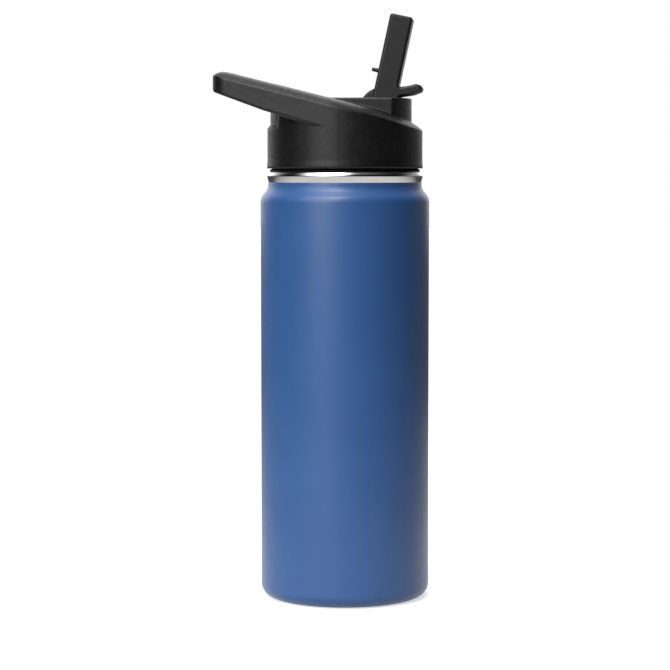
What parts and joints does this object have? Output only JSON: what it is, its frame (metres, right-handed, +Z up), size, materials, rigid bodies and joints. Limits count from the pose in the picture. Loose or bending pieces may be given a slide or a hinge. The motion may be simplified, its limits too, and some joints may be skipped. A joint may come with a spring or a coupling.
{
  "type": "insulated water bottle",
  "caption": "Insulated steel water bottle with a blue powder coat, a screw-on black lid with a carry loop, and a flip-up straw spout.",
  "frame": {"origin": "centre of the base, on the surface that the bottle stands on", "axes": "+Z up along the bottle's axis; the carry loop points to -X and the open spout leans to +X"},
  "size_m": [0.0914, 0.073, 0.2522],
  "materials": {
    "blue_powder_coat": "fine-grained satin powder coat",
    "polished_steel": "mirror polished",
    "satin_steel": "turned and electropolished satin",
    "black_plastic": "moulded satin black",
    "black_silicone": "soft matt",
    "clear_silicone": "translucent, soft matt",
    "clear_plastic": "milky translucent",
    "foam": "fine foam",
    "solder_glass": "fused, glossy",
    "getter": "pressed powder"
  },
  "bodies": {
    "bottle": {"outer_shell": "blue_powder_coat", "neck_ring": "polished_steel", "inner_liner": "satin_steel", "liner_bottom": "satin_steel", "outer_base": "satin_steel", "base_cover": "satin_steel", "vacuum_seal_bead": "solder_glass", "getter_cup": "satin_steel", "getter_pellet": "getter"},
    "valve": {"vent_valve": "clear_silicone"},
    "seals": {"lid_gasket": "black_silicone", "vent_grommet": "black_silicone"},
    "lid": {"lid_cover": "black_plastic", "lid_plug": "black_plastic", "lid_insulation": "foam", "straw_adapter": "black_plastic", "spout_seat": "clear_silicone", "straw": "clear_plastic", "spout_pin_left": "satin_steel", "spout_pin_right": "satin_steel"},
    "spout": {"spout": "black_plastic"}
  },
  "joints": [
    {"name": "lid_lift", "type": "slide", "parent": "bottle", "child": "valve", "axis": [0, 0, 1], "range_m": [0, 0.18]},
    {"name": "thread_rise", "type": "slide", "parent": "valve", "child": "seals", "axis": [0, 0, 1], "range_m": [0, 0.005]},
    {"name": "lid_turn", "type": "hinge", "parent": "seals", "child": "lid", "pos_m": [0, 0, 0.1873], "axis": [0, 0, 1], "range_deg": [0, 450]},
    {"name": "spout_flip", "type": "hinge", "parent": "lid", "child": "spout", "pos_m": [0.0162, 0, 0.2113], "axis": [0, -1, 0], "range_deg": [0, 102]}
  ],
  "couplings": [
    {"joint": "thread_rise", "follows": "lid_turn", "m_per_rad": 0.00063662}
  ]
}
